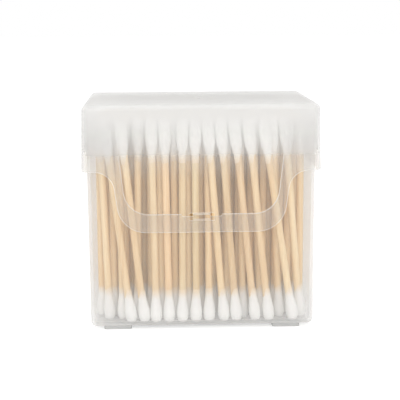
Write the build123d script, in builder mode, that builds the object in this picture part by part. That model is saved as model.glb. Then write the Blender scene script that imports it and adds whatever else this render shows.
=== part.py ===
from build123d import *
from math import atan2, cos, floor, pi, radians, sin, sqrt, tan
import os

# Flip-top box of frosted plastic, filled with standing wooden cotton swabs.
# Millimetres. +Z is up, the front (with the dispensing cut-out) faces -Y, and +X is the box's right.
# The origin is on the surface that the feet stand on, under the middle of the whole outline.

# Swab
swab_length = 74.7
stick_diameter = 2.6
tip_diameter = 4.5
tip_full_from = 3.2           # from the swab's end, where the cotton reaches its full width
head_full_to = 8.6            # from the upper end, where the cotton starts to taper
head_taper_to = 12.6          # from the upper end, where only a thin layer is left on the stick
head_length = 15.5            # of the cotton at the upper end
foot_full_to = 4.6            # the same for the lower end, whose tip is a shorter drop
foot_taper_to = 10.4
foot_length = 12.4
tip_end_radius = 1.7          # of the blunt end, before it is rounded
tip_end_rounding = 1.2
tip_side_rounding = 7.0
cotton_edge = 0.15            # thickness of the thin layer
stick_inset = 1.3             # cotton beyond the end of the stick
swab_clearance = 0.05         # smallest gap between neighbouring cotton tips
wall_clearance = 0.1          # smallest gap between a cotton tip and the box

# Box body
body_width = 81.2             # outside, at the base
body_depth = 57.6             # outside, at the base
body_wall = 1.2
body_floor = 1.2
body_draft = 0.35             # degrees, the body widens upwards
body_corner_radius = 2.2
body_base_radius = 1.6
rim_above_swabs = 1.1
inner_edge_radius = 0.6

# Feet
foot_height = 1.45
foot_width = 10.2
foot_depth = 7.0
foot_corner_radius = 1.0
foot_side_inset = 4.6         # from the body's side to the foot
foot_end_inset = 1.8          # from the body's front or back to the foot

# Lid
lid_wall = 1.0
lid_top = 1.2
lid_draft = 1.5               # degrees, the lid widens downwards
lid_side_gap = 0.3            # between the body's rim and the lid, on each side
lid_end_gap = 0.65            # between the body's rim and the lid, front and back
lid_headroom = 2.8            # from the body's rim to the lid's ceiling
lid_skirt_drop = 23.8         # from the lid's top face to its lower edge
lid_corner_radius = 2.5
lid_top_radius = 2.0

# Flap of the lid, over the front of the body
flap_drop = 45.7              # from the lid's top face to the flap's lower edge
flap_half_width = 29.05       # of the straight-sided outline, at its lower edge
flap_side_slope = 8.0         # degrees from upright
flap_corner_radius = 10.5
flap_shoulder_radius = 7.0
flap_rounding_limit = 0.98    # largest share of the flap's side that both roundings take together

# Dispensing cut-out in the front wall of the body
cutout_above_flap_edge = 6.1
cutout_half_width = 27.1      # of the straight-sided outline, at its lower edge
cutout_side_slope = 6.4       # degrees from upright
cutout_corner_radius = 9.0

# Latch: a slot through the flap, and a catch that stands out of the body's front lip
slot_width = 9.1
slot_height = 2.75
slot_above_flap_edge = 4.25
slot_corner_radius = 0.4
catch_width = 6.2
catch_height = 1.85
catch_lift = 0.2              # from the slot's lower edge to the catch
catch_reach = 0.75            # of the catch into the thickness of the flap
catch_relief_width = 14.6
catch_relief_depth = 0.9
catch_relief_radius = 0.6

# Hinge: round pins inside the lid's sides, snapped into holes in the body's sides
pin_radius = 1.5
pin_running_clearance = 0.05
pin_below_rim = 5.0
pin_from_back = 4.0           # from the body's back face, at the rim
pin_reach = 0.4               # of the pin past the body's wall
pin_chamfer = 0.4
back_skirt_lift = 5.6         # from the pin's axis to the lower edge of the lid's back
side_skirt_reach = 3.0        # of the lid's side past the pin's axis
side_skirt_radius = 2.5

# Small features
edge_radius = 0.3             # around the cut-out
rim_rounding = 0.4            # along the lower edge of the lid
gate_mark_radius = 1.2
gate_mark_depth = 0.2

# Places of the swabs that show at the front, as (foot, head) across the box from its middle,
# each measured at the middle of a cotton tip
front_swabs = [
    (-26.7, -34.0),
    (-21.8, -28.4),
    (-16.9, -17.8),
    (-12.1, -13.0),
    (-7.1, -6.7),
    (-2.1, -2.1),
    (7.6, 2.8),
    (12.2, 7.5),
    (18.9, 12.5),
    (24.0, 17.6),
    (32.6, 23.2),
]
leaning_back = [
    (2.7, 2.4),
]
leaning_foot_row = 0.12       # foot a little behind the front row, head in the second row
second_swabs = [
    (-34.3, -36.3),
    (-29.2, -29.8),
    (-23.6, -22.6),
    (-14.7, -14.9),
    (-9.7, -9.8),
    (-4.8, -4.6),
    (9.7, 9.6),
    (15.4, 14.4),
    (21.9, 19.2),
    (28.6, 26.2),
    (36.2, 31.0),
]
row_sway = 1.1                # largest sideways shift of a swab's ends in the rows behind
row_sway_step = 1.9           # radians of sway from one row to the next

# Heights
base_z = foot_height
floor_z = base_z + body_floor
swab_z = floor_z + wall_clearance
rim_z = swab_z + swab_length + rim_above_swabs
ceiling_z = rim_z + lid_headroom
top_z = ceiling_z + lid_top
skirt_z = top_z - lid_skirt_drop
flap_z = top_z - flap_drop
cutout_z = flap_z + cutout_above_flap_edge
slot_z = flap_z + slot_above_flap_edge
catch_z = slot_z + catch_lift
pin_z = rim_z - pin_below_rim
back_skirt_z = pin_z + back_skirt_lift

# Outward travel of the drafted walls for each millimetre of height
body_slope = tan(radians(body_draft))
lid_slope = tan(radians(lid_draft))

# The lid's size at its top face follows from its fit over the body's rim
rim_width = body_width + 2 * body_slope * (rim_z - base_z)
rim_depth = body_depth + 2 * body_slope * (rim_z - base_z)
lid_taper = lid_slope * (top_z - rim_z)
lid_width = rim_width + 2 * (lid_side_gap + lid_wall - lid_taper)
lid_depth = rim_depth + 2 * (lid_end_gap + lid_wall - lid_taper)

# The flap reaches further forward than the short back skirt reaches back,
# so the box stands a little behind the middle of the whole outline.
box_y = lid_slope * (back_skirt_z - flap_z) / 2
pin_y = box_y + rim_depth / 2 - pin_from_back
front_plane = Plane.XZ.offset(-box_y)


def body_half(size, z):
    """Half of the body's outside width or depth at a height."""
    return size / 2 + body_slope * (z - base_z)


def lid_half(size, z):
    """Half of the lid's outside width or depth at a height."""
    return size / 2 + lid_slope * (top_z - z)


def tray_outline(half_width, side_slope, bottom, top):
    """Corners of a straight-sided U, from its left top round to its right top."""
    spread = tan(radians(side_slope)) * (top - bottom)
    return [
        (-half_width - spread, top),
        (-half_width, bottom),
        (half_width, bottom),
        (half_width + spread, top),
    ]


# Box body, with its feet, front cut-out, catch and pivot holes
with BuildPart() as box_body:
    with BuildSketch(Plane((0, box_y, base_z))):
        RectangleRounded(body_width, body_depth, body_corner_radius)
    extrude(amount=rim_z - base_z, taper=-body_draft)
    fillet(box_body.edges().group_by(Axis.Z)[0], body_base_radius)

    inner_width = 2 * (body_half(body_width, floor_z) - body_wall)
    inner_depth = 2 * (body_half(body_depth, floor_z) - body_wall)
    with BuildSketch(Plane((0, box_y, floor_z))):
        RectangleRounded(inner_width, inner_depth, body_corner_radius - body_wall)
    extrude(amount=rim_z - floor_z, taper=-body_draft, mode=Mode.SUBTRACT)
    floor_face = box_body.faces().filter_by(Plane.XY).sort_by_distance((0, box_y, floor_z))[0]
    fillet(floor_face.edges(), inner_edge_radius)

    # The front wall is open from the dispensing lip up to the rim
    with BuildSketch(front_plane) as cutout:
        with BuildLine():
            Polyline(*tray_outline(cutout_half_width, cutout_side_slope, cutout_z, rim_z), close=True)
        make_face()
        fillet(cutout.vertices().group_by(Axis.Y)[0], cutout_corner_radius)
    extrude(amount=body_depth, mode=Mode.SUBTRACT)
    front_wall_y = box_y - body_half(body_depth, floor_z) + 2 * body_wall
    cutout_edges = box_body.edges().filter_by(
        lambda edge: edge.center().Y < front_wall_y
        and edge.center().Z > cutout_z - edge_radius
        and abs(edge.center().X) < body_half(body_width, base_z) - body_corner_radius
    )
    fillet(cutout_edges, edge_radius)

    # The lip dips on both sides of the catch
    with BuildSketch(front_plane) as relief:
        with Locations((0, cutout_z)):
            RectangleRounded(catch_relief_width, 2 * catch_relief_depth, catch_relief_radius)
    extrude(amount=body_depth, mode=Mode.SUBTRACT)

    # The catch leans out of the lip, so that the slot's lower edge swings past it
    catch_top_z = catch_z + catch_height
    lip_inner_y = box_y - body_half(body_depth, catch_top_z) + body_wall
    flap_inner_y = box_y - lid_half(lid_depth, slot_z) + lid_wall
    with BuildSketch(Plane.YZ):
        with BuildLine():
            Polyline(
                (lip_inner_y, catch_z),
                (lip_inner_y, catch_top_z),
                (flap_inner_y - catch_reach, catch_top_z),
                (flap_inner_y, catch_z),
                close=True,
            )
        make_face()
    extrude(amount=catch_width / 2, both=True)

    # Feet under the four corners
    foot_x = body_width / 2 - foot_side_inset - foot_width / 2
    foot_y = body_depth / 2 - foot_end_inset - foot_depth / 2
    with BuildSketch(Plane((0, box_y, 0))):
        with GridLocations(2 * foot_x, 2 * foot_y, 2, 2):
            RectangleRounded(foot_width, foot_depth, foot_corner_radius)
    extrude(amount=base_z)

    # Holes for the lid's pins, right through both sides
    with BuildSketch(Plane.YZ):
        with Locations((pin_y, pin_z)):
            Circle(pin_radius + pin_running_clearance)
    extrude(amount=body_width, both=True, mode=Mode.SUBTRACT)

# Both roundings of the flap's side shrink together where the flap is too short for them
flap_side_length = (skirt_z - flap_z) / cos(radians(flap_side_slope))
flap_rounding_length = tan(radians(90 - flap_side_slope) / 2) * (flap_corner_radius + flap_shoulder_radius)
flap_rounding_share = min(1, flap_rounding_limit * flap_side_length / flap_rounding_length)

# Lid, with its front flap, latch slot and hinge pins
with BuildPart() as lid:
    with BuildSketch(Plane((0, box_y, top_z))):
        RectangleRounded(lid_width, lid_depth, lid_corner_radius)
    extrude(amount=-flap_drop, taper=-lid_draft)
    fillet(lid.edges().group_by(Axis.Z)[-1], lid_top_radius)

    ceiling_width = 2 * (lid_half(lid_width, ceiling_z) - lid_wall)
    ceiling_depth = 2 * (lid_half(lid_depth, ceiling_z) - lid_wall)
    with BuildSketch(Plane((0, box_y, ceiling_z))):
        RectangleRounded(ceiling_width, ceiling_depth, lid_corner_radius - lid_wall)
    extrude(amount=flap_z - ceiling_z, taper=-lid_draft, mode=Mode.SUBTRACT)

    # Seen from the front, the lid keeps its short skirt and the flap in the middle
    skirt_half = lid_half(lid_width, flap_z) + lid_wall
    with BuildSketch(front_plane) as silhouette:
        with BuildLine():
            Polyline(
                (-skirt_half, top_z),
                (-skirt_half, skirt_z),
                *tray_outline(flap_half_width, flap_side_slope, flap_z, skirt_z),
                (skirt_half, skirt_z),
                (skirt_half, top_z),
                close=True,
            )
        make_face()
        fillet(silhouette.vertices().group_by(Axis.Y)[0], flap_corner_radius * flap_rounding_share)
        shoulders = silhouette.vertices().filter_by(
            lambda corner: abs(corner.Y - skirt_z) < lid_wall and abs(corner.X) < body_width / 2
        )
        fillet(shoulders, flap_shoulder_radius * flap_rounding_share)
    extrude(amount=lid_depth, both=True, mode=Mode.INTERSECT)

    # Behind the flap the skirt stays short, and behind the pins it is shorter still
    rear_y = box_y + lid_half(lid_depth, flap_z) + lid_wall
    with BuildSketch(Plane.YZ) as side_cut:
        with BuildLine():
            Polyline(
                (box_y, flap_z - lid_wall),
                (box_y, skirt_z),
                (pin_y + side_skirt_reach, skirt_z),
                (pin_y + side_skirt_reach, back_skirt_z),
                (rear_y, back_skirt_z),
                (rear_y, flap_z - lid_wall),
                close=True,
            )
        make_face()
        skirt_corner = side_cut.vertices().sort_by_distance((pin_y + side_skirt_reach, skirt_z, 0))[0]
        fillet(skirt_corner, side_skirt_radius)
    extrude(amount=skirt_half, both=True, mode=Mode.SUBTRACT)

    # The outer rim of the flap and of the sides is rounded
    def on_lid_rim(edge):
        """Whether an edge runs along the lower rim, on the lid's outer face."""
        point = edge @ 0.5
        front_gap = abs(point.Y - box_y + lid_half(lid_depth, point.Z))
        side_gap = abs(abs(point.X) - lid_half(lid_width, point.Z))
        upright = abs((edge % 0.5).Z) > cos(radians(2 * lid_draft))
        return point.Z < skirt_z + flap_shoulder_radius and min(front_gap, side_gap) < rim_rounding and not upright

    fillet(lid.edges().filter_by(on_lid_rim), rim_rounding)

    # Latch slot through the flap
    with BuildSketch(front_plane):
        with Locations((0, slot_z + slot_height / 2)):
            RectangleRounded(slot_width, slot_height, slot_corner_radius)
    extrude(amount=lid_depth, mode=Mode.SUBTRACT)

    # Pins that stand inwards from the lid's sides
    pin_tip_x = body_half(body_width, pin_z) - body_wall - pin_reach
    pin_root_x = lid_half(lid_width, pin_z) - lid_wall / 2
    for side in (-1, 1):
        with BuildSketch(Plane.YZ.offset(side * pin_tip_x)):
            with Locations((pin_y, pin_z)):
                Circle(pin_radius)
        extrude(amount=side * (pin_root_x - pin_tip_x))
        pin_rim = lid.edges().filter_by(GeomType.CIRCLE).sort_by_distance((side * pin_tip_x, pin_y, pin_z))[0]
        chamfer(pin_rim, pin_chamfer)

    # Shallow round mark where the plastic entered the mould
    with BuildSketch(Plane((0, box_y, top_z))):
        Circle(gate_mark_radius)
    extrude(amount=-gate_mark_depth, mode=Mode.SUBTRACT)

# One upright swab about the middle of its length: the stick, and the cotton at its two ends
stick_radius = stick_diameter / 2
tip_radius = tip_diameter / 2
swab_half = swab_length / 2

with BuildPart() as stick:
    with BuildSketch(Plane.XY.offset(stick_inset - swab_half)):
        Circle(stick_radius)
    extrude(amount=swab_length - 2 * stick_inset)

# The wound cotton at each end: full width, then a taper to a thin layer
with BuildPart() as cotton_pair:
    for end, full_to, taper_to, length in (
        (1, head_full_to, head_taper_to, head_length),
        (-1, foot_full_to, foot_taper_to, foot_length),
    ):
        with BuildSketch(Plane.XZ) as cotton:
            with BuildLine():
                Polyline(
                    (0, end * swab_half),
                    (tip_end_radius, end * swab_half),
                    (tip_radius, end * (swab_half - tip_full_from)),
                    (tip_radius, end * (swab_half - full_to)),
                    (stick_radius + cotton_edge, end * (swab_half - taper_to)),
                    (stick_radius + cotton_edge, end * (swab_half - length)),
                    (stick_radius, end * (swab_half - length)),
                    (stick_radius, end * (swab_half - stick_inset)),
                    (0, end * (swab_half - stick_inset)),
                    close=True,
                )
            make_face()
            for corner_x, from_end, radius in (
                (tip_end_radius, 0, tip_end_rounding),
                (tip_radius, tip_full_from, tip_side_rounding),
                (tip_radius, full_to, tip_side_rounding),
                (stick_radius + cotton_edge, taper_to, tip_side_rounding),
            ):
                corner = (corner_x, end * (swab_half - from_end), 0)
                fillet(cotton.vertices().sort_by_distance(corner)[0], radius)
        revolve(axis=Axis.Z)

# Room for the middles of the cotton tips, between the box's inner faces at the floor
tip_middle = (tip_full_from + head_full_to) / 2
tip_full_half = (head_full_to - tip_full_from) / 2
lean_span = swab_length - 2 * tip_middle
tip_pitch = tip_diameter + swab_clearance
reach_x = inner_width / 2 - wall_clearance - tip_radius
reach_y = inner_depth / 2 - wall_clearance - tip_radius
rows = floor(2 * reach_y / tip_pitch) + 1
row_pitch = 2 * reach_y / (rows - 1)
columns = floor(2 * reach_x / tip_pitch) + 1
column_pitch = 2 * reach_x / (columns - 1)


def standing(chosen):
    """Those of a chosen row that fit between the walls and clear of each other."""
    kept = []
    for foot, head in chosen:
        if max(abs(foot), abs(head)) > reach_x:
            continue
        if kept:
            last_foot, last_head = kept[-1]
            splay = abs((head - foot) - (last_head - last_foot)) / lean_span
            spacing = tip_pitch / cos(atan2(head - foot, lean_span)) + splay * tip_full_half
            if min(foot - last_foot, head - last_head) < spacing:
                continue
        kept.append((foot, head))
    return kept


def full_row(row):
    """Feet and heads of a closely filled row, half a pitch across from the next rows and swaying a little."""
    slack = (column_pitch - tip_pitch) * (columns - 1) / pi
    sway = min(row_sway, slack) * sin(row * row_sway_step)
    stagger = row % 2
    swabs = []
    for column in range(columns - stagger):
        step = column + stagger / 2
        middle = step * column_pitch - reach_x
        shift = sway * sin(pi * step / (columns - 1))
        swabs.append((middle + shift, middle - shift))
    return swabs


def swab_place(foot, head, foot_row, head_row):
    """Where the middle of a swab goes, with the swab leaning from its foot to its head."""
    foot_y = row_pitch * foot_row - reach_y
    head_y = row_pitch * head_row - reach_y
    lean = Vector(head - foot, head_y - foot_y, lean_span).normalized()
    lift = swab_half * lean.Z + tip_end_radius * sqrt(1 - lean.Z**2)
    middle = ((foot + head) / 2, box_y + (foot_y + head_y) / 2, swab_z + lift)
    return Location(Plane(origin=middle, z_dir=lean))


# The front row, with each swab in pieces of its own
pieces = [box_body, lid]
labels = ["box_body", "lid"]
front_places = [swab_place(foot, head, 0, 0) for foot, head in standing(front_swabs)]
front_places += [swab_place(foot, head, leaning_foot_row, 1) for foot, head in leaning_back]
for number, place in enumerate(front_places, start=1):
    for kind, master in (("stick", stick), ("tips", cotton_pair)):
        with BuildPart(mode=Mode.PRIVATE) as piece:
            with Locations(place):
                add(master.part)
        pieces.append(piece)
        labels.append(f"front_swab_{number:02d}_{kind}")

# The rows behind, each as its sticks and its cotton tips
for row in range(1, rows):
    swabs = standing(second_swabs) if row == 1 else full_row(row)
    places = [swab_place(foot, head, row, row) for foot, head in swabs]
    for kind, master in (("sticks", stick), ("tips", cotton_pair)):
        with BuildPart(mode=Mode.PRIVATE) as piece:
            with Locations(*places):
                add(master.part)
        pieces.append(piece)
        labels.append(f"row_{row + 1:02d}_{kind}")

os.makedirs("parts", exist_ok=True)
for piece, label in zip(pieces, labels):
    piece.part.label = label
    export_step(piece.part, f"parts/{label}.step")
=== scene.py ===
"""Looks of a frosted flip-top box filled with standing cotton swabs, around its CAD frame."""

import logging
import math
import random
from dataclasses import dataclass, field
from enum import Enum

import bmesh
import bpy
from mathutils import Matrix, Vector, noise


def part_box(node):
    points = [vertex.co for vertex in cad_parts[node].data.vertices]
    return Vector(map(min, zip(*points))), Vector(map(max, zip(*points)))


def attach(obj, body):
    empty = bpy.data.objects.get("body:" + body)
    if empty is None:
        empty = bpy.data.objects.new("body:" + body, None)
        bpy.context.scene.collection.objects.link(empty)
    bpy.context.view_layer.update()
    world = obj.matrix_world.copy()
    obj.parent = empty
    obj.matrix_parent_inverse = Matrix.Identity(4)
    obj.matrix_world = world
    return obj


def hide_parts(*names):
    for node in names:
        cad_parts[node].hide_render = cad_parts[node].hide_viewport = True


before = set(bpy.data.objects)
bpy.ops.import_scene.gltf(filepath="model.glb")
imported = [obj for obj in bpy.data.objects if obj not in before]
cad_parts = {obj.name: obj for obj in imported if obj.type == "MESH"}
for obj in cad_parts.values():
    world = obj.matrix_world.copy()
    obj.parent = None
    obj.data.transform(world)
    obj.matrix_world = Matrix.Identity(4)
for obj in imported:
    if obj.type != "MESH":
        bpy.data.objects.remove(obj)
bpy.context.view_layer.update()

MM = 0.001
ALONG = "along"
WHITE = (1.0, 1.0, 1.0)
LOG = logging.getLogger("cotton_swab_box")

Colour = tuple[float, float, float]
Point = tuple[float, float, float]
Profile = tuple[tuple[float, float], ...]


class Body(Enum):
    """The rigid groups that pieces ride on."""

    BOX = "box"
    LID = "lid"


class Slot(Enum):
    """The record's material slots."""

    BODY = "body_plastic"
    LID = "lid_plastic"
    STICK = "stick_wood"
    COTTON = "cotton"


class Detail(Enum):
    """How finely a cotton tip is modelled, as (segments round, rings along)."""

    FRONT = (28, 26)
    SECOND = (18, 16)
    HIDDEN = (10, 5)


class Graph:
    """Adds nodes to a node tree and joins them."""

    def __init__(self, tree: bpy.types.NodeTree) -> None:
        """Starts on an empty tree.

        Args:
            tree: The node tree to fill.
        """
        self.tree = tree
        tree.nodes.clear()

    def add(self, kind: str, inputs: dict | None = None, **settings: object) -> bpy.types.Node:
        """Adds one node.

        Args:
            kind: The node's type name.
            inputs: Socket name or number to a plain value, or to the output socket that feeds it.
            **settings: Properties of the node itself.

        Returns:
            The new node.
        """
        node = self.tree.nodes.new(kind)
        for name, value in settings.items():
            setattr(node, name, value)
        for name, value in (inputs or {}).items():
            socket = node.inputs[name]
            if isinstance(value, bpy.types.NodeSocket):
                self.tree.links.new(value, socket)
            else:
                socket.default_value = value
        return node

    def maths(self, operation: str, first: object, second: object = 0.0) -> bpy.types.NodeSocket:
        """Adds a Math node.

        Args:
            operation: The Math node's operation.
            first: First value or socket.
            second: Second value or socket.

        Returns:
            The result's socket.
        """
        return self.add("ShaderNodeMath", {0: first, 1: second}, operation=operation).outputs[0]

    def mix(self, factor: object, first: object, second: object) -> bpy.types.NodeSocket:
        """Adds a colour Mix node.

        Args:
            factor: Share of the second colour.
            first: First colour or socket.
            second: Second colour or socket.

        Returns:
            The mixed colour's socket.
        """
        node = self.add("ShaderNodeMix", {0: factor, 6: first, 7: second}, data_type="RGBA")
        return node.outputs[2]

    def ramp(
        self, value: object, low: float, high: float, top: float = 1.0, easing: str = "LINEAR"
    ) -> bpy.types.NodeSocket:
        """Adds a Map Range node that rises from 0.

        Args:
            value: The value or socket to map.
            low: Where the rise starts.
            high: Where the rise ends.
            top: What it rises to.
            easing: The Map Range node's kind of interpolation.

        Returns:
            The result's socket.
        """
        inputs = {"Value": value, "From Min": low, "From Max": high, "To Max": top}
        return self.add("ShaderNodeMapRange", inputs, interpolation_type=easing).outputs[0]

    def bump(self, height: bpy.types.NodeSocket, strength: float, depth: float) -> bpy.types.NodeSocket:
        """Adds a Bump node.

        Args:
            height: The socket that gives the height.
            strength: How much of the bump shows.
            depth: The bump's depth in metres.

        Returns:
            The normal's socket.
        """
        inputs = {"Strength": strength, "Distance": depth, "Height": height}
        return self.add("ShaderNodeBump", inputs).outputs["Normal"]


def group_tree(name: str, inputs: dict[str, tuple[str, object]], outputs: dict[str, str]) -> tuple:
    """Starts a shader node group with named inputs and outputs.

    Args:
        name: The group's name.
        inputs: Socket name to its type and default value.
        outputs: Socket name to its type.

    Returns:
        The group's graph, its input node and its output node.
    """
    tree = bpy.data.node_groups.new(name, "ShaderNodeTree")
    for label, (kind, value) in inputs.items():
        socket = tree.interface.new_socket(label, in_out="INPUT", socket_type=kind)
        socket.default_value = value
    for label, kind in outputs.items():
        tree.interface.new_socket(label, in_out="OUTPUT", socket_type=kind)
    graph = Graph(tree)
    return graph, graph.add("NodeGroupInput"), graph.add("NodeGroupOutput")


def new_material(name: str) -> tuple[bpy.types.Material, Graph]:
    """Starts a material.

    Args:
        name: The material's name.

    Returns:
        The material and its graph, still empty.
    """
    made = bpy.data.materials.new(name)
    made.use_nodes = True
    return made, Graph(made.node_tree)


def opaque(colour: Colour) -> tuple[float, float, float, float]:
    """The colour with an alpha of 1."""
    return (*colour, 1.0)


def dimmed(colour: Colour, share: float) -> Colour:
    """The colour at a share of its brightness."""
    return tuple(c * share for c in colour)


@dataclass(frozen=True)
class MouldTexture:
    """Fine unevenness of moulded plastic: a satin grain and slow flow marks."""

    grain_scale: float = 2600.0
    grain_detail: float = 2.0
    flow_scale: float = 55.0
    flow_detail: float = 3.0
    flow_swirl: float = 0.6

    def group(self) -> bpy.types.NodeTree:
        """Builds the node group once.

        Returns:
            The group, with outputs Grain and Flow from 0 to 1.
        """
        name = "mould_texture"
        if name in bpy.data.node_groups:
            return bpy.data.node_groups[name]
        floats = "NodeSocketFloat"
        graph, start, end = group_tree(
            name,
            {"Grain Scale": (floats, self.grain_scale), "Flow Scale": (floats, self.flow_scale)},
            {"Grain": floats, "Flow": floats},
        )
        place = graph.add("ShaderNodeTexCoord").outputs["Object"]
        grain = graph.add(
            "ShaderNodeTexNoise",
            {"Vector": place, "Scale": start.outputs["Grain Scale"], "Detail": self.grain_detail},
        )
        flow = graph.add(
            "ShaderNodeTexNoise",
            {
                "Vector": place,
                "Scale": start.outputs["Flow Scale"],
                "Detail": self.flow_detail,
                "Distortion": self.flow_swirl,
            },
        )
        graph.tree.links.new(grain.outputs["Fac"], end.inputs["Grain"])
        graph.tree.links.new(flow.outputs["Fac"], end.inputs["Flow"])
        return graph.tree


@dataclass(frozen=True)
class Rim:
    """Where a moulding's cut edges lie, as a box in millimetres, so that a painted highlight can be laid on
    them.
    """

    low: Point
    high: Point


@dataclass(frozen=True)
class FrostedPlastic:
    """Satin translucent polypropylene, thin-walled, that shows what is behind it through a haze.

    A haze is the share of one surface that isn't clear. A wall has two surfaces.
    """

    name: str
    colour: Colour
    # (height in millimetres, haze), from the bottom up
    haze: Profile
    roughness: float
    rims: tuple[Rim, ...]
    # Flow marks
    flow_haze: float = 0.02
    flow_tone: float = 0.97
    flow_roughness: float = 0.08
    # Cut edges, where the surface turns away from the front and the back: their brighter colour is a
    # painted highlight, and their thicker haze stands for the longer path through the plastic
    rim_highlight_colour: Colour = (0.98, 0.97, 0.95)
    rim_haze: float = 0.8
    rim_facing: float = 0.9
    # Walls seen edge-on, from and to these values of Layer Weight's Facing
    edge_on_haze: float = 0.75
    edge_on_from: float = 0.55
    edge_on_to: float = 0.95
    # Feet: a thicker haze, and a darker grey colour that is painted shade from the box standing over them
    foot_haze: float = 0.7
    foot_shade_colour: Colour = (0.66, 0.66, 0.65)
    foot_top: float = 1.46 * MM
    # Share of the haze that lets light through to the other side
    glow_share: float = 0.45
    refraction: float = 1.49
    grain_strength: float = 0.12
    grain_depth: float = 0.05 * MM

    def rim_mask(self, graph: Graph) -> bpy.types.NodeSocket:
        """Marks the cut edges and their roundings, where the painted highlight goes.

        Args:
            graph: The material's graph.

        Returns:
            A socket that is 1 on the edges and 0 elsewhere.
        """
        coordinates = graph.add("ShaderNodeTexCoord")
        place = graph.add("ShaderNodeSeparateXYZ", {"Vector": coordinates.outputs["Object"]}).outputs
        facing = graph.add("ShaderNodeSeparateXYZ", {"Vector": coordinates.outputs["Normal"]}).outputs["Y"]
        turned = graph.maths("LESS_THAN", graph.maths("ABSOLUTE", facing), self.rim_facing)
        inside_any = None
        for rim in self.rims:
            inside = None
            for axis in range(3):
                middle = (rim.low[axis] + rim.high[axis]) / 2
                half = (rim.high[axis] - rim.low[axis]) / 2
                offset = graph.maths("ABSOLUTE", graph.maths("SUBTRACT", place[axis], middle * MM))
                within = graph.maths("LESS_THAN", offset, half * MM)
                inside = graph.maths("MULTIPLY", inside, within) if inside else within
            inside_any = graph.maths("MAXIMUM", inside_any, inside) if inside_any else inside
        return graph.maths("MULTIPLY", inside_any, turned)

    def haze_at(self, graph: Graph, height: bpy.types.NodeSocket) -> bpy.types.NodeSocket:
        """Works out the haze of a plain wall.

        Args:
            graph: The material's graph.
            height: The socket that gives the height.

        Returns:
            The haze's socket.
        """
        haze = self.haze[0][1]
        for (low, before), (high, after) in zip(self.haze, self.haze[1:]):
            step = graph.ramp(height, low * MM, high * MM, after - before, "SMOOTHSTEP")
            haze = graph.maths("ADD", haze, step)
        return haze

    def material(self) -> bpy.types.Material:
        """Builds the material.

        Returns:
            The finished material.
        """
        made, graph = new_material(self.name)
        texture = graph.add("ShaderNodeGroup", node_tree=MouldTexture().group()).outputs
        place = graph.add("ShaderNodeTexCoord").outputs["Object"]
        height = graph.add("ShaderNodeSeparateXYZ", {"Vector": place}).outputs["Z"]
        foot = graph.maths("LESS_THAN", height, self.foot_top)
        rim = self.rim_mask(graph)
        tone = graph.mix(texture["Flow"], opaque(self.colour), opaque(dimmed(self.colour, self.flow_tone)))
        # Painted highlight: the cut edges get a brighter colour
        tone = graph.mix(rim, tone, opaque(self.rim_highlight_colour))
        # Painted shade: the feet get a darker grey in place of the shade under the box
        tone = graph.mix(foot, tone, opaque(self.foot_shade_colour))
        rough = graph.maths("MULTIPLY", texture["Flow"], self.flow_roughness)
        rough = graph.maths("ADD", rough, self.roughness - self.flow_roughness / 2)
        haze = self.haze_at(graph, height)
        haze = graph.maths("ADD", haze, graph.maths("MULTIPLY", texture["Flow"], self.flow_haze))
        facing = graph.add("ShaderNodeLayerWeight", {"Blend": 0.5}).outputs["Facing"]
        edge_on = graph.ramp(facing, self.edge_on_from, self.edge_on_to, self.edge_on_haze)
        haze = graph.maths("MAXIMUM", haze, edge_on)
        # Cut edges: a thicker haze, so that their painted highlight shows
        haze = graph.maths("MAXIMUM", haze, graph.maths("MULTIPLY", rim, self.rim_haze))
        haze = graph.maths("MAXIMUM", haze, graph.maths("MULTIPLY", foot, self.foot_haze))
        skin = graph.add(
            "ShaderNodeBsdfPrincipled",
            {
                "Base Color": tone,
                "Roughness": rough,
                "IOR": self.refraction,
                "Normal": graph.bump(texture["Grain"], self.grain_strength, self.grain_depth),
            },
        ).outputs[0]
        glow = graph.add("ShaderNodeBsdfTranslucent", {"Color": tone}).outputs[0]
        wall = graph.add("ShaderNodeMixShader", {0: self.glow_share, 1: skin, 2: glow}).outputs[0]
        clear = graph.add("ShaderNodeBsdfTransparent").outputs[0]
        both = graph.add("ShaderNodeMixShader", {0: haze, 1: clear, 2: wall}).outputs[0]
        graph.add("ShaderNodeOutputMaterial", {"Surface": both})
        return made


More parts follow.
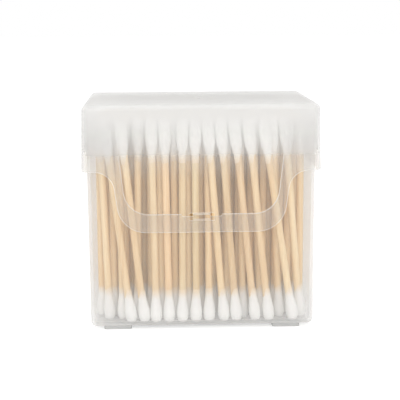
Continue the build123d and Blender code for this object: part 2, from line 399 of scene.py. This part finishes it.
@dataclass(frozen=True)
class PaleWood:
    """Plain birch-like stick with fine straight grain along its length."""

    name: str
    light: Colour
    dark: Colour
    offset: float = 0.0
    # How much the pattern is drawn out along the stick
    stretch: float = 0.04
    grain_scale: float = 1900.0
    grain_detail: float = 4.0
    tint_scale: float = 210.0
    tint_detail: float = 1.0
    # Values of the pattern that are all light and all dark
    all_light: float = 0.36
    all_dark: float = 0.64
    roughness: float = 0.62
    grain_strength: float = 0.35
    grain_depth: float = 0.06 * MM

    def toned(self, name: str, tone: float, warmth: float, offset: float) -> "PaleWood":
        """Gives the same wood another tone.

        Args:
            name: The new finish's name.
            tone: Share of the brightness that is kept.
            warmth: Share of the green and the blue that is kept besides.
            offset: How far the pattern is moved.

        Returns:
            The new finish.
        """
        tints = (tone, tone * warmth, tone * warmth)
        light = tuple(min(1.0, c * t) for c, t in zip(self.light, tints))
        dark = tuple(min(1.0, c * t) for c, t in zip(self.dark, tints))
        return PaleWood(name, light, dark, offset)

    def material(self) -> bpy.types.Material:
        """Builds the material.

        Returns:
            The finished material.
        """
        made, graph = new_material(self.name)
        place = graph.add("ShaderNodeTexCoord").outputs["Object"]
        stretched = graph.add(
            "ShaderNodeMapping",
            {"Vector": place, "Location": (self.offset,) * 3, "Scale": (1.0, 1.0, self.stretch)},
        ).outputs[0]
        grain = graph.add(
            "ShaderNodeTexNoise",
            {"Vector": stretched, "Scale": self.grain_scale, "Detail": self.grain_detail},
        ).outputs["Fac"]
        tint = graph.add(
            "ShaderNodeTexNoise",
            {"Vector": stretched, "Scale": self.tint_scale, "Detail": self.tint_detail},
        ).outputs["Fac"]
        half_grain = graph.maths("MULTIPLY", grain, 0.5)
        half_tint = graph.maths("MULTIPLY", tint, 0.5)
        spread = graph.ramp(graph.maths("ADD", half_grain, half_tint), self.all_light, self.all_dark)
        shader = graph.add(
            "ShaderNodeBsdfPrincipled",
            {
                "Base Color": graph.mix(spread, opaque(self.light), opaque(self.dark)),
                "Roughness": self.roughness,
                "Normal": graph.bump(grain, self.grain_strength, self.grain_depth),
            },
        )
        graph.add("ShaderNodeOutputMaterial", {"Surface": shader.outputs[0]})
        return made


@dataclass(frozen=True)
class SpunCotton:
    """White cotton wound on a stick, with fine slanting fibres."""

    name: str
    colour: Colour
    wood: Colour
    slant: float = 0.5
    stretch: float = 0.35
    fibre_scale: float = 3400.0
    fibre_detail: float = 5.0
    fibre_swirl: float = 0.4
    fibre_tone: float = 0.96
    lump_scale: float = 420.0
    lump_detail: float = 2.0
    lump_height: float = 1.5
    bump_strength: float = 0.5
    bump_depth: float = 0.2 * MM
    # Share of the cotton's length from which the wood starts to show through, and how much at the end
    thin_from: float = 0.68
    thin_most: float = 0.85
    gloss: float = 0.2
    sheen: float = 0.25
    sheen_roughness: float = 0.6

    def material(self) -> bpy.types.Material:
        """Builds the material.

        Returns:
            The finished material.
        """
        made, graph = new_material(self.name)
        place = graph.add("ShaderNodeTexCoord").outputs["Object"]
        slanted = graph.add(
            "ShaderNodeMapping",
            {
                "Vector": place,
                "Rotation": (0.0, self.slant, 0.0),
                "Scale": (self.stretch, self.stretch, 1.0),
            },
        ).outputs[0]
        fibre = graph.add(
            "ShaderNodeTexNoise",
            {
                "Vector": slanted,
                "Scale": self.fibre_scale,
                "Detail": self.fibre_detail,
                "Distortion": self.fibre_swirl,
            },
        ).outputs["Fac"]
        lump = graph.add(
            "ShaderNodeTexNoise", {"Vector": place, "Scale": self.lump_scale, "Detail": self.lump_detail}
        ).outputs["Fac"]
        height = graph.maths("ADD", fibre, graph.maths("MULTIPLY", lump, self.lump_height))
        tone = graph.mix(fibre, opaque(self.colour), opaque(dimmed(self.colour, self.fibre_tone)))
        along = graph.add("ShaderNodeAttribute", attribute_name=ALONG).outputs["Fac"]
        thin = graph.ramp(along, self.thin_from, 1.0, self.thin_most, "SMOOTHSTEP")
        shader = graph.add(
            "ShaderNodeBsdfPrincipled",
            {
                "Base Color": graph.mix(thin, tone, opaque(self.wood)),
                "Roughness": 1.0,
                "Specular IOR Level": self.gloss,
                "Sheen Weight": self.sheen,
                "Sheen Roughness": self.sheen_roughness,
                "Normal": graph.bump(height, self.bump_strength, self.bump_depth),
            },
        )
        graph.add("ShaderNodeOutputMaterial", {"Surface": shader.outputs[0]})
        return made


def dress(piece: bpy.types.Object, material: bpy.types.Material) -> None:
    """Gives a piece one material.

    Args:
        piece: The piece to dress.
        material: Its finish.
    """
    if piece.data.materials:
        for index in range(len(piece.data.materials)):
            piece.data.materials[index] = material
    else:
        piece.data.materials.append(material)
    LOG.info("%s: %s, %d faces", piece.name, material.name, len(piece.data.polygons))


def new_piece(name: str, mesh: bmesh.types.BMesh) -> bpy.types.Object:
    """Makes an object from a finished bmesh, which is freed.

    Args:
        name: The piece's name.
        mesh: Its shape.

    Returns:
        The piece, in the scene.
    """
    data = bpy.data.meshes.new(name)
    mesh.to_mesh(data)
    mesh.free()
    piece = bpy.data.objects.new(name, data)
    bpy.context.collection.objects.link(piece)
    return piece


@dataclass
class Swab:
    """One swab's place: its middle and the direction from its foot to its head."""

    middle: Vector
    axis: Vector


@dataclass
class CottonTips:
    """Wound cotton on both ends of the swabs of one CAD node."""

    node: str
    detail: Detail
    seed: int
    half_length: float = 37.35 * MM
    # (distance from the swab's end, radius) along the cotton, in millimetres
    head: Profile = (
        (0.0, 0.95),
        (0.3, 1.45),
        (1.0, 1.85),
        (2.2, 2.12),
        (4.0, 2.24),
        (6.5, 2.25),
        (8.5, 2.18),
        (10.2, 1.85),
        (11.6, 1.55),
        (13.0, 1.40),
        (15.5, 1.305),
    )
    foot: Profile = (
        (0.0, 0.95),
        (0.3, 1.45),
        (1.0, 1.88),
        (2.0, 2.16),
        (3.4, 2.25),
        (4.8, 2.17),
        (6.4, 1.92),
        (8.4, 1.62),
        (10.2, 1.43),
        (12.4, 1.305),
    )
    # Above 1, the rings crowd towards the swab's end
    crowding: float = 1.35
    # Wound ridges: how many start round the cotton, their turn over its length and their height
    ridges: int = 3
    ridge_turn: float = 26.0
    ridge_height: float = 0.012
    lump_size: float = 1.6 * MM
    lump_height: float = 0.035
    # Share of the length that is uneven, and the slimmest that a tip is wound
    uneven_share: float = 0.8
    slimmest: float = 0.96
    # How far apart two tips' patterns of lumps are taken, in lumps
    pattern_span: float = 50

    def swabs(self) -> list[Swab]:
        """Reads the swabs' places from the CAD node.

        Returns:
            Each swab, from the left to the right.
        """
        copy = bmesh.new()
        copy.from_mesh(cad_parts[self.node].data)
        bmesh.ops.remove_doubles(copy, verts=copy.verts, dist=1e-6)
        middle_z = sum(c[2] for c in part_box(self.node)) / 2
        ends = {True: [], False: []}
        seen = set()
        for start in copy.verts:
            if start.index in seen:
                continue
            seen.add(start.index)
            island, todo = [], [start]
            while todo:
                vert = todo.pop()
                island.append(vert.co.copy())
                for edge in vert.link_edges:
                    other = edge.other_vert(vert)
                    if other.index not in seen:
                        seen.add(other.index)
                        todo.append(other)
            low = Vector(map(min, zip(*island)))
            high = Vector(map(max, zip(*island)))
            centre = (low + high) / 2
            ends[centre.z > middle_z].append(centre)
        copy.free()
        feet = sorted(ends[False], key=lambda c: c.x)
        heads = sorted(ends[True], key=lambda c: c.x)
        return [Swab((f + h) / 2, (h - f).normalized()) for f, h in zip(feet, heads, strict=True)]

    @staticmethod
    def radius_at(profile: Profile, distance: float) -> float:
        """Radius of the cotton.

        Args:
            profile: The tip's (distance, radius) points.
            distance: From the swab's end, in millimetres.

        Returns:
            The radius in millimetres.
        """
        for (d0, r0), (d1, r1) in zip(profile, profile[1:]):
            if distance <= d1:
                return r0 + (r1 - r0) * (distance - d0) / (d1 - d0)
        return profile[-1][1]

    def shell(self, mesh: bmesh.types.BMesh, profile: Profile) -> list[bmesh.types.BMVert]:
        """Adds the smooth shell of one tip, standing on its end at the origin.

        Args:
            mesh: The mesh that takes the shell.
            profile: The tip's (distance, radius) points.

        Returns:
            The shell's vertices.
        """
        segments, rings = self.detail.value
        length = profile[-1][0]
        steps = [length * (i / rings) ** self.crowding for i in range(rings + 1)]
        circle = bmesh.ops.create_circle(
            mesh, cap_ends=True, segments=segments, radius=profile[0][1] * MM
        )["verts"]
        whole = list(circle)
        edge_ring = list(circle[0].link_faces[0].edges)
        for last, now in zip(steps, steps[1:]):
            grown = bmesh.ops.extrude_edge_only(mesh, edges=edge_ring)["geom"]
            verts = [g for g in grown if isinstance(g, bmesh.types.BMVert)]
            edge_ring = [g for g in grown if isinstance(g, bmesh.types.BMEdge)]
            factor = self.radius_at(profile, now) / self.radius_at(profile, last)
            bmesh.ops.scale(mesh, vec=(factor, factor, 1.0), verts=verts)
            bmesh.ops.translate(mesh, vec=(0.0, 0.0, (now - last) * MM), verts=verts)
            whole += verts
        return whole

    def add_tip(self, mesh: bmesh.types.BMesh, swab: Swab, side: int, draw: random.Random) -> None:
        """Adds one tip to a mesh: a turned shell with a wavy wound surface.

        Args:
            mesh: The mesh that takes the tip.
            swab: The swab it belongs to.
            side: 1 for the head, -1 for the foot.
            draw: Source of the tip's own chance values.
        """
        along = mesh.verts.layers.float.get(ALONG) or mesh.verts.layers.float.new(ALONG)
        profile = self.head if side > 0 else self.foot
        length = profile[-1][0] * MM
        whole = self.shell(mesh, profile)
        pattern = Vector([draw.uniform(0, self.pattern_span) for _ in range(3)])
        twist = draw.uniform(0, math.tau)
        fullness = draw.uniform(self.slimmest, 1.0)
        for vert in whole:
            share = vert.co.z / length
            vert[along] = share
            turn = math.atan2(vert.co.y, vert.co.x) + twist
            ridge = math.sin(self.ridges * turn + share * self.ridge_turn) * self.ridge_height
            lump = noise.noise(pattern + vert.co / self.lump_size) * self.lump_height
            uneven = share < self.uneven_share
            swell = (fullness + (ridge + lump) * (1.0 - share)) if uneven else 1.0
            vert.co.x *= swell
            vert.co.y *= swell
        turn_to = Vector((0, 0, -1)).rotation_difference(swab.axis * side)
        end = swab.middle + swab.axis * side * self.half_length
        place = Matrix.Translation(end) @ turn_to.to_matrix().to_4x4()
        bmesh.ops.transform(mesh, matrix=place, verts=whole)

    def build(self, material: bpy.types.Material) -> bpy.types.Object:
        """Builds the tips as one piece in place of the CAD node.

        Args:
            material: The cotton's finish.

        Returns:
            The finished piece.
        """
        draw = random.Random(self.seed)
        mesh = bmesh.new()
        for swab in self.swabs():
            for side in (-1, 1):
                self.add_tip(mesh, swab, side, draw)
        bmesh.ops.recalc_face_normals(mesh, faces=mesh.faces)
        for face in mesh.faces:
            face.smooth = True
        piece = new_piece(f"{self.node}_cotton", mesh)
        dress(piece, material)
        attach(piece, Body.BOX.value)
        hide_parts(self.node)
        return piece


@dataclass
class Contents:
    """The standing swabs."""

    wood: PaleWood = PaleWood("pale_wood_rows", (0.97, 0.77, 0.48), (0.82, 0.57, 0.31))
    cotton: SpunCotton = SpunCotton("spun_cotton", (0.95, 0.945, 0.925), (0.88, 0.68, 0.44))
    names: list[str] = field(default_factory=lambda: sorted(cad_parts))
    seed: int = 11
    tones: tuple[float, float] = (0.88, 1.05)
    warmths: tuple[float, float] = (0.94, 1.04)

    def dress_sticks(self) -> None:
        """Gives every stick its wood, with a tone of its own at the front."""
        draw = random.Random(self.seed)
        shared = self.wood.material()
        for name in self.names:
            if name.endswith("_sticks"):
                dress(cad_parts[name], shared)
            elif name.endswith("_stick"):
                tone = draw.uniform(*self.tones)
                warmth = draw.uniform(*self.warmths)
                wood = self.wood.toned(f"pale_wood_{name}", tone, warmth, draw.uniform(0, 1))
                dress(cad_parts[name], wood.material())

    def build_tips(self) -> None:
        """Builds the cotton on every swab."""
        cotton = self.cotton.material()
        tips = [name for name in self.names if name.endswith("_tips")]
        for seed, name in enumerate(tips):
            if name.startswith("front"):
                detail = Detail.FRONT
            elif name.startswith("row_02"):
                detail = Detail.SECOND
            else:
                detail = Detail.HIDDEN
            CottonTips(name, detail, seed).build(cotton)

    def build(self) -> None:
        """Dresses the sticks and builds the tips."""
        self.dress_sticks()
        self.build_tips()


@dataclass
class Shells:
    """The box's body and its lid."""

    # Hazier at the floor, with a painted highlight on the edges round the dispensing cut-out
    body: FrostedPlastic = FrostedPlastic(
        "frosted_body",
        (0.90, 0.89, 0.875),
        ((2.4, 0.42), (3.6, 0.22), (9.0, 0.22), (20.0, 0.13)),
        0.30,
        (Rim((-33, -40, 40.5), (33, -20, 78)),),
    )
    # Hazier above the sticks, with a painted highlight on the edges along the flap and the skirt
    lid: FrostedPlastic = FrostedPlastic(
        "frosted_lid",
        (0.90, 0.895, 0.885),
        ((54.0, 0.12), (64.0, 0.215), (65.2, 0.28), (80.0, 0.58)),
        0.34,
        (Rim((-42, -40, 30), (42, -20, 66)),),
    )

    def build(self) -> None:
        """Dresses both mouldings."""
        dress(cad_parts["box_body"], self.body.material())
        dress(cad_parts["lid"], self.lid.material())


@dataclass(frozen=True)
class Lamp:
    """A soft square lamp: its place and width in metres, and its power in watts."""

    name: str
    place: Point
    size: float
    power: float


@dataclass
class Studio:
    """White floor, white surroundings, soft lamps and the camera."""

    surround: float = 0.72
    floor_size: float = 8.0
    floor_colour: Colour = (0.8, 0.8, 0.8)
    floor_glow: float = 0.45
    lamps: tuple[Lamp, ...] = (
        Lamp("front_lamp", (0.05, -1.1, 0.4), 0.6, 5.0),
        Lamp("top_lamp", (-0.2, -0.1, 1.0), 0.8, 2.8),
    )
    lit_point: Point = (0.0, 0.0, 0.04)
    camera_place: Point = (-0.01539, -0.41715, 0.1165)
    camera_turn: tuple[float, float, float] = (-0.038, -0.174, 0.006)
    lens: float = 99.05
    sensor: float = 36.0
    nearest: float = 0.01

    @staticmethod
    def seen_straight(graph: Graph) -> bpy.types.NodeSocket:
        """Tells a look at the background from light that falls on the box.

        Args:
            graph: The graph of the floor or of the surroundings.

        Returns:
            A socket that is 1 for a look, straight, in gloss or through glass, and 0 for light.
        """
        path = graph.add("ShaderNodeLightPath").outputs
        seen = graph.maths("MAXIMUM", path["Is Camera Ray"], path["Is Glossy Ray"])
        return graph.maths("MAXIMUM", seen, path["Is Transmission Ray"])

    def world(self) -> None:
        """Makes the surroundings: white to look at, a plain level of light on the box."""
        made = bpy.data.worlds.new("white_studio")
        made.use_nodes = True
        graph = Graph(made.node_tree)
        strength = graph.add(
            "ShaderNodeMapRange",
            {"Value": self.seen_straight(graph), "To Min": self.surround, "To Max": 1.0},
        ).outputs[0]
        sky = graph.add("ShaderNodeBackground", {"Color": opaque(WHITE), "Strength": strength})
        graph.add("ShaderNodeOutputWorld", {"Surface": sky.outputs[0]})
        bpy.context.scene.world = made

    def floor(self) -> None:
        """Makes the floor: white to look at, with the box's shadow on it."""
        mesh = bmesh.new()
        bmesh.ops.create_grid(mesh, x_segments=2, y_segments=2, size=self.floor_size / 2)
        piece = new_piece("floor", mesh)
        made, graph = new_material("white_floor")
        strength = graph.maths("MULTIPLY", self.seen_straight(graph), self.floor_glow)
        matt = graph.add("ShaderNodeBsdfDiffuse", {"Color": opaque(self.floor_colour)})
        glow = graph.add("ShaderNodeEmission", {"Color": opaque(WHITE), "Strength": strength})
        both = graph.add("ShaderNodeAddShader", {0: matt.outputs[0], 1: glow.outputs[0]})
        graph.add("ShaderNodeOutputMaterial", {"Surface": both.outputs[0]})
        dress(piece, made)

    def light(self, lamp: Lamp) -> None:
        """Adds a lamp that points at the box's middle.

        Args:
            lamp: The lamp to add.
        """
        data = bpy.data.lights.new(lamp.name, "AREA")
        data.shape = "SQUARE"
        data.size = lamp.size
        data.energy = lamp.power
        piece = bpy.data.objects.new(lamp.name, data)
        piece.location = lamp.place
        aim = Vector(self.lit_point) - Vector(lamp.place)
        piece.rotation_euler = aim.to_track_quat("-Z", "Y").to_euler()
        bpy.context.collection.objects.link(piece)

    def camera(self) -> None:
        """Adds the camera."""
        yaw, pitch, roll = self.camera_turn
        turn = Matrix.Rotation(yaw, 3, "Z") @ Matrix.Rotation(pitch, 3, "X") @ Matrix.Rotation(roll, 3, "Y")
        right, ahead, up = turn.col[0], turn.col[1], turn.col[2]
        data = bpy.data.cameras.new("camera")
        data.lens = self.lens
        data.sensor_width = self.sensor
        data.clip_start = self.nearest
        piece = bpy.data.objects.new("camera", data)
        axes = Matrix((right, up, -ahead)).transposed()
        piece.matrix_world = Matrix.Translation(Vector(self.camera_place)) @ axes.to_4x4()
        bpy.context.collection.objects.link(piece)
        bpy.context.scene.camera = piece

    def build(self) -> None:
        """Builds the whole studio."""
        bpy.context.scene.view_settings.view_transform = "Standard"
        self.world()
        self.floor()
        for lamp in self.lamps:
            self.light(lamp)
        self.camera()


def main() -> None:
    """Builds the object and its studio."""
    logging.basicConfig(level=logging.INFO, format="%(name)s: %(message)s")
    Shells().build()
    Contents().build()
    Studio().build()


if __name__ == "__main__":
    main()
